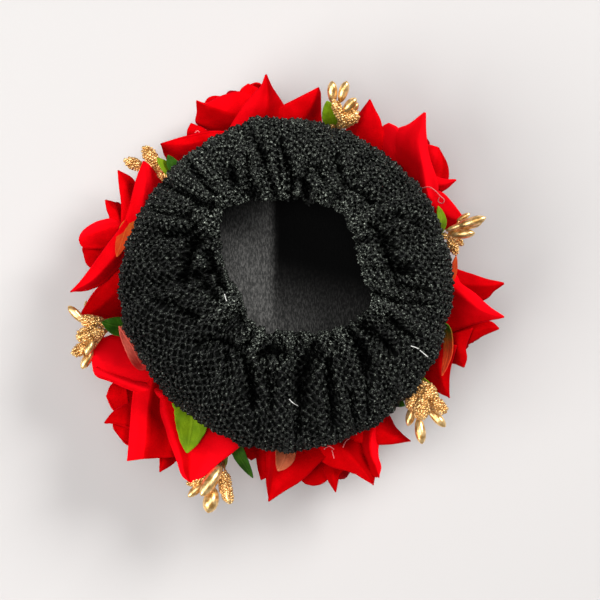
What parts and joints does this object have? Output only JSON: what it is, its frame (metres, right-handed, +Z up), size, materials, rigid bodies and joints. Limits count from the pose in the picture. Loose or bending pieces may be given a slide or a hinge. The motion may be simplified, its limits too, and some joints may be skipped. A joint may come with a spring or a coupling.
{
  "type": "flower bun cover",
  "caption": "Round net bun cover with a gathered mouth, ringed by velvet roses, cloth leaves and gold stamen bunches.",
  "frame": {"origin": "foot of the cap's axis on the surface that the flowers rest on", "axes": "+Z up along the cap's axis, out of the mouth; +Y towards the top of the picture"},
  "size_m": [0.1337, 0.1334, 0.0501],
  "materials": {
    "crown_cloth": "matt black woven cloth",
    "net_knit": "black net knit",
    "rose_velvet": "red velvet",
    "leaf_green": "green leaf cloth",
    "leaf_lime": "lime leaf cloth",
    "leaf_orange": "autumn leaf cloth",
    "stamen_gold": "pearly gold"
  },
  "bodies": {
    "root": {"crown_disc": "crown_cloth", "net_cover": "net_knit", "rose_1_outer": "rose_velvet", "rose_1_middle": "rose_velvet", "rose_1_heart": "rose_velvet", "rose_2_outer": "rose_velvet", "rose_2_middle": "rose_velvet", "rose_2_heart": "rose_velvet", "rose_3_outer": "rose_velvet", "rose_3_middle": "rose_velvet", "rose_3_heart": "rose_velvet", "rose_4_outer": "rose_velvet", "rose_4_middle": "rose_velvet", "rose_4_heart": "rose_velvet", "rose_5_outer": "rose_velvet", "rose_5_middle": "rose_velvet", "rose_5_heart": "rose_velvet", "rose_6_outer": "rose_velvet", "rose_6_middle": "rose_velvet", "rose_6_heart": "rose_velvet", "leaf_lime_top": "leaf_lime", "leaf_green_right": "leaf_green", "leaf_orange_right": "leaf_orange", "leaf_autumn_right": "leaf_orange", "leaf_yellow_low_right": "leaf_lime", "leaf_green_low_right": "leaf_green", "leaf_orange_bottom": "leaf_orange", "leaf_green_bottom": "leaf_green", "leaf_lime_low_left": "leaf_lime", "leaf_pink_left": "leaf_orange", "leaf_green_left": "leaf_green", "leaf_orange_left": "leaf_orange", "leaf_yellow_top_left": "leaf_lime", "leaf_green_top_left": "leaf_green", "stamen_bunch_1": "stamen_gold", "stamen_bunch_2": "stamen_gold", "stamen_bunch_3": "stamen_gold", "stamen_bunch_4": "stamen_gold", "stamen_bunch_5": "stamen_gold", "stamen_bunch_6": "stamen_gold"}
  },
  "joints": []
}
